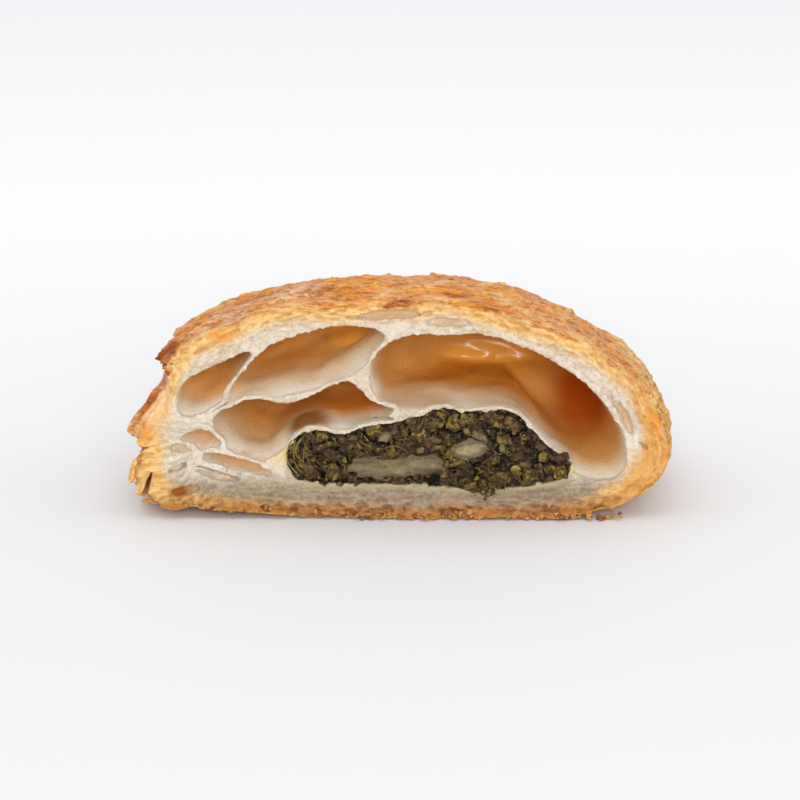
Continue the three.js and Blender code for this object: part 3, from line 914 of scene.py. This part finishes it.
    @staticmethod
    def leaf_depth(points, skin):
        """Which leaf of the pastry a point lies in: its depth under the crust, or its height by the seam."""
        x, y, z = points.T
        stacked = smoothstep(-x, 30, 38) * (1 - smoothstep(z, 14, 17))
        return skin * (1 - stacked) + (z - 0.12 * x) * stacked

    def layer_edges(self, points, skin):
        """How much the cut leaves stand proud, ragged near the crust and in the base."""
        x, y, z = points.T
        along = np.stack([x, z, self.leaf_depth(points, skin)], 1)
        leaves = octaves(along, (5.0, 5.0, 0.75), seed=31, count=2)
        flaky = octaves(along, (1.8, 1.8, 0.8), seed=35)
        ragged = 1 - smoothstep(skin, 1.8, 3.6)
        foot = 1 - smoothstep(z, 1.8, 3.6)
        clods = octaves(points, (1.5, 1.5, 1.1), seed=38, count=2)
        apron = (1 - smoothstep(z, 0.3, 1.9)) * smoothstep(x, -12, 2) * (0.9 + 0.9 * clods)
        sand = octaves(points, 0.75, seed=40, count=2)
        edges = 0.25 * leaves + 0.2 * sand + (0.15 + 0.42 * ragged) * flaky
        return edges + foot * (0.25 + 0.6 * clods) + apron

    @staticmethod
    def gaps(points):
        """Thin gaps between leaves, negative inside them."""
        x, y, z = points.T
        field = np.full(len(points), 1.0)
        wander = 0.35 * noise(points, (4.0, 9.0, 4.0), seed=41)
        for x0, z0, thick0, x1, z1, thick1, into in SLITS:
            run = np.hypot(x1 - x0, z1 - z0)
            share = np.clip(((x - x0) * (x1 - x0) + (z + wander - z0) * (z1 - z0)) / run**2, 0, 1)
            away = np.hypot(x - x0 - share * (x1 - x0), z + wander - z0 - share * (z1 - z0))
            gap = away - (thick0 + share * (thick1 - thick0)) * np.clip(1.2 - (y - CUT) / into, 0, 1)
            field = np.minimum(field, gap)
        return field

    def hollow_walls(self, points, skin):
        """Distance to the hollows, which swell slowly behind the cut, with torn rims and blistered walls."""
        behind = points[:, 1] - CUT
        drift = np.stack([noise(points, 9, seed) for seed in (21, 22)], 1) * 0.8
        drift += np.stack([noise(points, 4, seed) for seed in (23, 24)], 1) * 0.3
        sideways = np.stack([drift[:, 0], np.zeros(len(points)), drift[:, 1]], 1)
        moved = points + smoothstep(behind, 0.5, 8)[:, None] * sideways
        torn = 0.08 + 0.4 * np.exp(-np.abs(behind) / 0.8)
        walls = self.nearest_hollow(moved, skin) + torn * octaves(points, (0.7, 1.6, 0.7), seed=26, count=2)
        walls = walls.astype(np.float32)
        for place, height, width in BLISTERS:
            away = np.linalg.norm((points - place) / width, axis=1)
            walls += height * np.exp(-(away**2)).astype(np.float32)
        return walls

    def detailed(self, points):
        """The case with its wrinkles, flakes, layer edges and torn rims, negative in the pastry."""
        x, y, z = points.T
        behind = y - CUT
        skin = -self.outside(points)

        outside = -skin.copy()
        near = np.flatnonzero(np.abs(skin) < BAND)
        outside[near] -= self.crust_relief(points[near])

        hollow = np.full(len(points), HOLLOW_REACH, np.float32)
        deep = np.flatnonzero((skin > 0.3) & (behind > -1))
        hollow[deep] = self.hollow_walls(points[deep], skin[deep])
        filling = self.filling_place(points)

        # the cut: leaf edges stand proud, rims roll back, and the edge beside the seam is worn
        front = np.flatnonzero(behind < 5.5)
        proud = np.zeros(len(points))
        proud[front] = self.layer_edges(points[front], skin[front]) - self.worn(points[front], skin[front])
        rolled = 0.15 * np.exp(-np.maximum(hollow, 0) / 0.45)
        cut = CUT + CUT_SETBACK - proud + rolled - y

        gaps = np.ones(len(points))
        shallow = np.flatnonzero(behind < 8.5)
        gaps[shallow] = self.gaps(points[shallow])

        # the foot: its edge lifts off the floor a little at the cut, most on the open side
        lifted = (0.25 + 0.4 * noise(points * (1, 1, 0), 2.2, seed=44)) * (1 + smoothstep(-x, 0, 20))
        foot = np.exp(-np.clip(behind, 0, None) / 1.5) * lifted - z
        return np.maximum.reduce([outside, -hollow, -filling, cut, -gaps, foot])

    def mesh(self):
        """The detailed case's vertices and quads, finest near the cut."""
        xs, zs = (np.arange(CASE_LOW[a] - MARGIN, CASE_HIGH[a] + MARGIN, CELL) for a in (0, 2))
        ys = steps_away(CUT - MARGIN, CELL, CUT + FINE_BEHIND, 1.045, 1.0, CASE_HIGH[1] + MARGIN)
        axes = (xs, ys, zs)
        field = self.plain(axes)
        band = np.flatnonzero(np.abs(field) < BAND)
        points = grid_points(axes)[band]
        field.flat[band] = np.concatenate([self.detailed(part) for part in np.array_split(points, 12)])
        field = np.maximum(field, -zs)
        return largest_body(*surface(field, axes))


def surface_readings(form, points):
    """What the pastry's colours go by at each point of its surface."""
    behind = points[:, 1] - CUT
    plain_skin = -form.outside(points)
    relief = form.crust_relief(points)
    skin = plain_skin + relief * (1 - smoothstep(plain_skin, 0.8, 2.2))
    skin = skin - CRUST_TURN * smoothstep(behind, 1.0, 2.4)
    filling = form.filling(points)
    to_wall = np.minimum(form.nearest_hollow(points, plain_skin), filling)
    to_wall = to_wall - WALL_DRIFT * smoothstep(behind, 1.0, 5.0)
    worn = form.worn(points, plain_skin) / WORN_BACK
    in_hollow = (1 - smoothstep(to_wall, 0.1, 0.9)) * (1 - smoothstep(worn, 0.05, 0.3))
    in_front = 1 - smoothstep(behind - worn * WORN_BACK, 1.0, 3.0)
    slimness = form.slimness[form.hollows_at(points)[:-1].argmin(0)]
    return {
        "skin_depth": skin,
        "crust_relief": relief,
        "leaf_depth": form.leaf_depth(points, plain_skin),
        "edge_relief": form.layer_edges(points, plain_skin),
        # how deep into a hollow, counted faster in slim hollows: the hollows' painted glow and painted shade
        # go by it
        "hollow_depth": behind * in_hollow * slimness,
        "filling_depth": filling,
        "sheet_side": worn * in_front,
        "cut_face": in_front * (1 - in_hollow * smoothstep(behind, 0.8, 2.4)),
    }


def make_pastry(form, material):
    vertices, faces = form.mesh()
    obj = piece("pastry_case", vertices, faces, material)
    thinned(obj, PASTRY_TRIANGLES, kept_behind=FINE_BEHIND)
    for key, values in surface_readings(form, points_of(obj)).items():
        set_attribute(obj, key, values)
    dressed(obj, "pastry", "pastry")


FOOT_CRUMBS = 150  # stuck along the foot of the cut, half of them in two clusters
RAGGED_CRUMBS = 140  # larger ones that make the foot's edge ragged, from the middle to the fold


def make_crumbs(material):
    """Crumbs stuck to the foot of the cut, and two loose flakes that hang at the open side."""
    count = FOOT_CRUMBS
    along = np.concatenate([dice.uniform(-40, 38, count // 2), dice.normal(-26, 4, count // 4),
                            dice.normal(-3, 6, count - count // 2 - count // 4)])
    ahead = dice.uniform(0.0, 0.6, count)
    size = dice.gamma(2.0, 0.11, (count, 1)).clip(0.1, 0.5) * dice.uniform(0.45, 1.3, (count, 3))
    lifted = 1.3 * smoothstep(-along, 14, 32)
    centres = np.stack([along, CUT + ahead, lifted + dice.uniform(0.2, 1.6, count)], 1)
    count = RAGGED_CRUMBS
    ragged = np.stack([dice.uniform(-8, 37, count), CUT - dice.gamma(2.0, 0.32, count).clip(0, 1.7) + 0.3,
                       dice.uniform(0.1, 1.1, count)], 1)
    centres = np.concatenate([centres, ragged])
    size = np.concatenate([size, dice.uniform(0.15, 0.42, (count, 3)) * (1.5, 1, 0.9)])
    centres[:, 2] = np.maximum(centres[:, 2], size.max(1))
    vertices, faces = lumps(centres, size, 0.6)
    shade = one_each(dice.uniform(0, 0.7, len(centres)), vertices)
    dressed(piece("pastry_crumbs", vertices, faces, material, {"shade": shade}), "pastry")

    spots = np.array([(-44.9, CUT + 0.9, 8.4), (-43.5, CUT + 0.6, 6.2)])
    radii = np.array([(0.75, 2.2), (0.6, 2.6)])
    angles = np.array([(0.15, 0.25, 0.5), (-0.1, 0.32, -0.4)])
    vertices, faces = sheets(spots, radii, np.array([0.5, -0.4]), 0.22, 0.35, angles, side=11)
    flakes = piece("loose_flakes", vertices, faces, material, {"shade": np.full(len(vertices), 0.9)})
    dressed(flakes, "pastry")


# ---- Filling ----
FILLING_CELL, CHEESE_CELL = 0.18, 0.2  # the grids' steps across the cut
CORE_TRIANGLES = 70_000
# Large and small leaf scraps: how many, their sizes, vertices along a side and how far they are sunk.
LEAF_SCRAPS = [(60, (0.9, 1.8), 9, 0.15), (160, (0.4, 1.0), 6, 0.1)]
BITS, HANGING_BITS = 220, 60  # over the filling's face, and below it where they hang out
# Each cheese's node, with its piece's name and how pale it is.
CHEESES = {"cheese_layer": ("cheese_strip", 0.25), "cheese_lump": ("cheese_lump_piece", 0.8)}


class FillingForm:
    """Fields of the filling: chopped spinach that fills its place in the pastry, round the two cheeses."""

    def __init__(self, place):
        self.place = place
        self.cheeses = {node: Distance(*shells_behind_cut(node)[0], voxel=0.3, reach=3.0, blur=0.35)
                        for node in CHEESES}

    def nearest_cheese(self, points):
        return np.minimum.reduce([cheese(points) for cheese in self.cheeses.values()])

    @staticmethod
    def face(points):
        """How far the spinach stands in front of the cut: crumpled, pitted chunks with gaps between."""
        clumps = octaves(points, (3.4, 3.0, 2.6), seed=51, count=2)
        crumple = np.abs(octaves(points, (1.8, 1.8, 1.5), seed=54))
        pits = smoothstep(octaves(points, (2.2, 2.0, 1.7), seed=58, count=2), 0.2, 0.55)
        own, inside = chunks(points, 2.8, seed=60)
        small, small_inside = chunks(points, 1.3, seed=70)
        large = 0.8 * (own - 0.5) - 0.9 * (1 - smoothstep(inside, 0, 0.4))
        fine = 0.3 * (small - 0.5) - 0.25 * (1 - smoothstep(small_inside, 0, 0.2))
        grit = octaves(points, (0.8, 0.8, 0.6), seed=57, count=2)
        return 0.5 * clumps + 1.0 * (crumple - 0.3) + large + fine + 0.3 * grit - 1.5 * pits

    @staticmethod
    def shade(points):
        """How light the spinach is at each point, chunk by chunk, from 0 to 1, with painted shade along the
        chunks' edges where the crevices are.
        """
        own, inside = chunks(points, 2.8, seed=60)
        small, _ = chunks(points, 1.3, seed=70)
        fine = octaves(points, (1.1, 1.1, 0.8), seed=85, count=2)
        chunk = 0.24 + 0.32 * (own * 5.3 % 1) + 0.16 * (small * 7.7 % 1)
        chunk += 0.3 * octaves(points, 3.2, seed=81) + 0.3 * fine
        # painted shade in the crevices along the chunks' edges
        return chunk - 0.5 * (1 - smoothstep(inside, 0, 0.6))

    def core(self, points):
        near_wall = self.place(points) - 0.2 + 0.15 * noise(points, 1.4, seed=61)
        front = np.full(len(points), -3.0)
        shallow = np.flatnonzero(points[:, 1] < CUT + 4.0)
        front[shallow] = CUT + 0.6 - self.face(points[shallow]) - points[shallow, 1]
        return np.maximum.reduce([near_wall, front, 0.1 - self.nearest_cheese(points)])

    def cheese(self, node, points):
        edge = self.cheeses[node](points) + 0.6 * octaves(points, (2.0, 2.0, 1.2), seed=64, count=3)
        front = CUT + 0.35 - 0.4 * octaves(points, (3.0, 2.0, 1.2), seed=66, count=2) - points[:, 1]
        return np.maximum(edge - 0.2, front)

    def spots(self, count, inset, from_cheese):
        """Random places on the filling's cut face, inset from its edge and from the cheeses."""
        low, high = FILLING_LOW.copy(), FILLING_HIGH.copy()
        low[1] = high[1] = CUT
        places = dice.uniform(low, high, (count * 4, 3))
        clear = (self.place(places) < -inset) & (self.nearest_cheese(places) > from_cheese)
        places = places[clear][:count]
        places[:, 1] = CUT + 0.55 - self.face(places)
        return places


def field_mesh(field, low, high, cell, longest):
    """The surface of a field in a box, with cells that grow behind the cut."""
    xs, zs = np.arange(low[0], high[0], cell), np.arange(low[2], high[2], cell)
    ys = steps_away(CUT - 2.0, cell, CUT + 1.5, 1.08, longest, high[1])
    axes = (xs, ys, zs)
    return largest_body(*surface(field(grid_points(axes)).reshape([len(a) for a in axes]), axes))


def scattered_leaves(form, count, sizes, side, sink):
    """Crumpled leaf scraps over the filling's cut face, within these sizes, and their shades."""
    spots = form.spots(count, 0.3 + 0.35 * sizes[0], 0.6 * sizes[0] - 0.5) + (0, sink, 0)
    n = len(spots)
    radii = dice.uniform(*sizes, (n, 1)) * dice.uniform(0.5, 1.0, (n, 2))
    lean = dice.normal(0, 0.5, n)
    angles = np.stack([lean, dice.uniform(-math.pi, math.pi, n), dice.normal(0, 0.5, n)], 1)
    mesh = sheets(spots, radii, dice.normal(0, 0.8, n), 0.6, 0.1, angles, side=side)
    return mesh, one_each(np.clip(dice.normal(0.36, 0.26, n), 0, 1.0), mesh[0])


def make_filling(form, spinach, cheese):
    vertices, faces = field_mesh(form.core, FILLING_LOW - 1.0, FILLING_HIGH + 1.0, FILLING_CELL, 1.2)
    core = piece("spinach_mass", vertices, faces, spinach, {"shade": form.shade(vertices)})
    thinned(core, CORE_TRIANGLES, kept_behind=1.5)
    dressed(core, "spinach", "spinach_filling")

    layers = [scattered_leaves(form, *scraps) for scraps in LEAF_SCRAPS]
    vertices, faces = merged([mesh for mesh, _ in layers])
    shade = np.concatenate([shades for _, shades in layers])
    dressed(piece("spinach_leaves", vertices, faces, spinach, {"shade": shade}), "spinach")

    spots = form.spots(BITS, 0.1, -0.9) - (0, 0.1, 0)
    hanging = dice.normal((14.2, CUT, 5.2), (0.8, 0.25, 0.8), (HANGING_BITS, 3))
    spots = np.concatenate([spots, hanging])
    n = len(spots)
    radii = dice.uniform(0.13, 0.42, (n, 1)) * dice.uniform(0.5, 1.0, (n, 3))
    vertices, faces = lumps(spots, radii, 0.5)
    shade = one_each(np.clip(dice.normal(0.32, 0.22, n), 0, 1.0), vertices)
    dressed(piece("chopped_bits", vertices, faces, spinach, {"shade": shade}), "spinach")

    make_stems(form, spinach)
    for node, (name, paleness) in CHEESES.items():
        low, high = (np.array(corner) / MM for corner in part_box(node))
        field = lambda points: form.cheese(node, points)
        vertices, faces = field_mesh(field, low - 1.2, high + 1.2, CHEESE_CELL, 1.0)
        part = piece(name, vertices, faces, cheese, {"rim_depth": -form.cheeses[node](vertices),
                                                     "paleness": np.full(len(vertices), paleness)})
        dressed(part, "cheese", node)

    # small scraps of cheese caught in the spinach
    scraps = np.array([(13.0, CUT + 0.2, 14.4), (10.9, CUT + 0.3, 15.3), (-2.6, CUT + 0.4, 14.2),
                       (3.2, CUT + 0.4, 11.9), (17.0, CUT + 0.4, 12.2)])
    radii = np.array([(1.5, 0.7, 0.9), (0.8, 0.6, 0.6), (1.2, 0.6, 0.8), (1.4, 0.5, 0.5), (0.8, 0.5, 0.7)])
    vertices, faces = lumps(scraps, radii, 0.5)
    part = piece("cheese_scraps", vertices, faces, cheese, {"rim_depth": np.full(len(vertices), 0.5),
                                                            "paleness": np.full(len(vertices), 0.55)})
    dressed(part, "cheese")


def make_stems(form, material):
    """Stringy stems: a few that bend round at the filling's open end, and loose ones along its face."""
    threads = []
    for n in range(6):
        start = np.array([-16.8, CUT + 0.1, 14.2]) + dice.normal(0, 0.5, 3) * (1.6, 0.4, 1.0)
        bend = start + (-1.6, -0.3, -3.0) + dice.normal(0, 0.8, 3) * (1, 0.3, 1)
        end = start + (0.9, 0.5, -5.4) + dice.normal(0, 0.8, 3) * (1, 0.3, 1)
        threads.append(strand(start, bend, end, dice.uniform(0.09, 0.15)))
    for spot in form.spots(34, 0.9, 0.3):
        reach = dice.normal(0, 1, 3) * (1.1, 0.2, 0.9)
        sag = dice.normal(0, 0.8, 3) * (1, 0.4, 1)
        bend = spot + sag - (0, 0.4, 0)
        spot = spot - (0, 0.1, 0)
        threads.append(strand(spot - reach, bend, spot + reach, dice.uniform(0.08, 0.14)))
    vertices, faces = merged(threads)
    shade = one_each(np.clip(dice.normal(0.6, 0.2, len(threads)), 0.2, 1.0), vertices)
    stems = piece("spinach_stems", vertices, faces, material, {"shade": shade})
    dressed(stems, "spinach")


# ---- Stage, light and camera ----
def make_stage(material):
    reach = 3000.0
    square = np.array([[-1, -1, 0], [1, -1, 0], [1, 1, 0], [-1, 1, 0]]) * reach
    floor = piece("studio_floor", square, np.array([[0, 1, 2, 3]]), material)


def area_light(name, place, aim, size, power):
    data = bpy.data.lights.new(name, "AREA")
    data.shape, data.size, data.size_y, data.energy = "RECTANGLE", size[0], size[1], power
    light = bpy.data.objects.new(name, data)
    light.location = place
    light.rotation_euler = (Vector(aim) - Vector(place)).to_track_quat("-Z", "Y").to_euler()
    light.visible_camera = False
    bpy.context.scene.collection.objects.link(light)


def make_light():
    world = bpy.data.worlds.new("pale room")
    world.use_nodes = True
    background = world.node_tree.nodes["Background"]
    background.inputs["Color"].default_value = (0.98, 0.985, 1.0, 1.0)
    background.inputs["Strength"].default_value = 0.86
    bpy.context.scene.world = world
    area_light("overhead softbox", (0.0, -0.1, 0.9), (0, 0, 0.02), (1.2, 1.2), 2.0)
    area_light("front softbox", (0.05, -1.0, 0.32), (0, 0, 0.02), (0.5, 0.3), 5.2)
    bpy.context.scene.view_settings.view_transform = "Standard"


CAMERA_ELEVATION = 14.0
CAMERA_DISTANCE = 500.0
CAMERA_AIM = (-0.17, CUT, 20.7)
VIEW_WIDTH = 800 / 6  # what the picture takes in across the cut: 800 pixels at 6 to the millimetre


def make_camera():
    data = bpy.data.cameras.new("camera")
    data.sensor_width = 36
    data.lens = data.sensor_width * CAMERA_DISTANCE / VIEW_WIDTH
    data.clip_start, data.clip_end = 0.01, 20
    camera = bpy.data.objects.new("camera", data)
    tilt = math.radians(CAMERA_ELEVATION)
    aim = Vector(CAMERA_AIM) * MM
    camera.location = aim + Vector((0, -math.cos(tilt), math.sin(tilt))) * CAMERA_DISTANCE * MM
    camera.rotation_euler = (math.pi / 2 - tilt, 0, 0)
    bpy.context.scene.collection.objects.link(camera)
    bpy.context.scene.camera = camera


make_camera()
make_light()
make_stage(floor_material())
pastry_form = PastryForm()
make_pastry(pastry_form, pastry_material())
make_crumbs(crumb_material())
make_filling(FillingForm(pastry_form.filling_place), spinach_material(), cheese_material())
